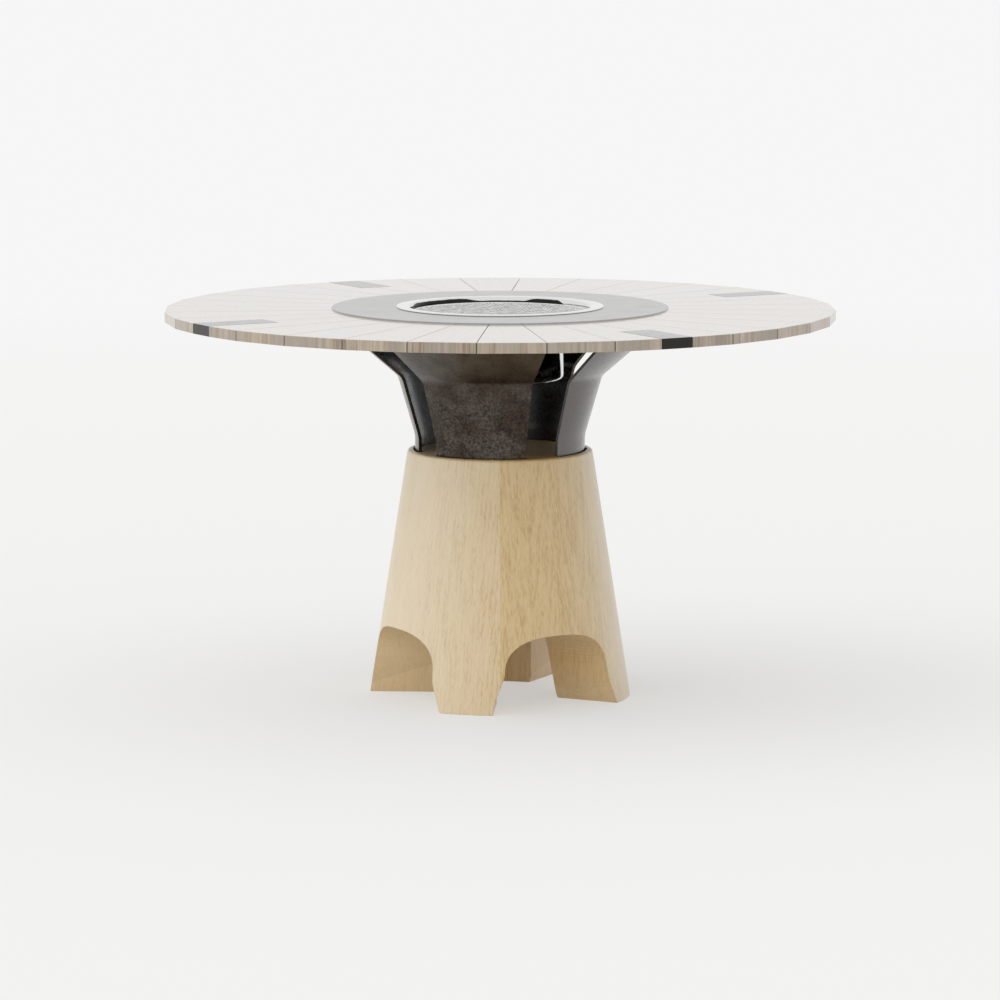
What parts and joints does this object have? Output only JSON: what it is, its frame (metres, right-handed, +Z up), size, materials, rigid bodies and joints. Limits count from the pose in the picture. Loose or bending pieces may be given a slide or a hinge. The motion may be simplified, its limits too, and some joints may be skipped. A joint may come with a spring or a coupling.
{
  "type": "grill table",
  "caption": "Round grill table: a wedge-board top round a fire bowl, on flared steel petals let into an arched, tapered wooden base.",
  "frame": {"origin": "centre of the base on the floor", "axes": "+Z up the middle of the table; arches and end plates face X and Y, legs stand on the diagonals"},
  "size_m": [1.2996, 1.2996, 0.7656],
  "materials": {
    "top_wood": "bleached, oiled",
    "base_wood": "natural, matt",
    "blackened_steel": "blackened, satin",
    "patinated_steel": "hot-rolled, patinated",
    "black_frame": "powder coat",
    "satin_steel": "satin",
    "polished_steel": "polished",
    "grate_steel": "satin",
    "cast_grate": "cast, seasoned",
    "zinc": "zinc plated"
  },
  "bodies": {
    "table": {"board_01": "top_wood", "board_02": "top_wood", "board_03": "top_wood", "board_04": "top_wood", "board_05": "top_wood", "board_06": "top_wood", "board_07": "top_wood", "board_08": "top_wood", "board_09": "top_wood", "board_10": "top_wood", "board_11": "top_wood", "board_12": "top_wood", "board_13": "top_wood", "board_14": "top_wood", "board_15": "top_wood", "board_16": "top_wood", "board_17": "top_wood", "board_18": "top_wood", "board_19": "top_wood", "board_20": "top_wood", "board_21": "top_wood", "board_22": "top_wood", "board_23": "top_wood", "board_24": "top_wood", "board_25": "top_wood", "board_26": "top_wood", "board_27": "top_wood", "board_28": "top_wood", "board_29": "top_wood", "board_30": "top_wood", "board_31": "top_wood", "board_32": "top_wood", "end_plate_right": "blackened_steel", "end_plate_back": "blackened_steel", "end_plate_left": "blackened_steel", "end_plate_front": "blackened_steel", "petal_back_right": "patinated_steel", "petal_back_left": "patinated_steel", "petal_front_left": "patinated_steel", "petal_front_right": "patinated_steel", "arm_1": "black_frame", "arm_2": "black_frame", "arm_3": "black_frame", "arm_4": "black_frame", "arm_5": "black_frame", "arm_6": "black_frame", "arm_7": "black_frame", "arm_8": "black_frame", "ring_plate": "satin_steel", "mounting_ring": "black_frame", "support_hoop": "black_frame", "wooden_base": "base_wood", "centre_plug": "base_wood", "deck_screws": "zinc", "studs_and_bolts": "zinc"},
    "fire_bowl": {"fire_dish": "polished_steel", "fire_pot": "polished_steel"},
    "cooking_grate": {"grate_frame": "polished_steel", "grate_mesh": "grate_steel"},
    "charcoal_grate": {"charcoal_grate": "cast_grate"}
  },
  "joints": [
    {"name": "bowl_lift", "type": "slide", "parent": "table", "child": "fire_bowl", "axis": [0, 0, 1], "range_m": [0, 0.2]},
    {"name": "cooking_grate_lift", "type": "slide", "parent": "fire_bowl", "child": "cooking_grate", "axis": [0, 0, 1], "range_m": [0, 0.25]},
    {"name": "charcoal_grate_lift", "type": "slide", "parent": "fire_bowl", "child": "charcoal_grate", "axis": [0, 0, 1], "range_m": [0, 0.2]}
  ],
  "couplings": [
    {"joint": "charcoal_grate_lift", "follows": "cooking_grate_lift", "ratio": 0.8}
  ]
}
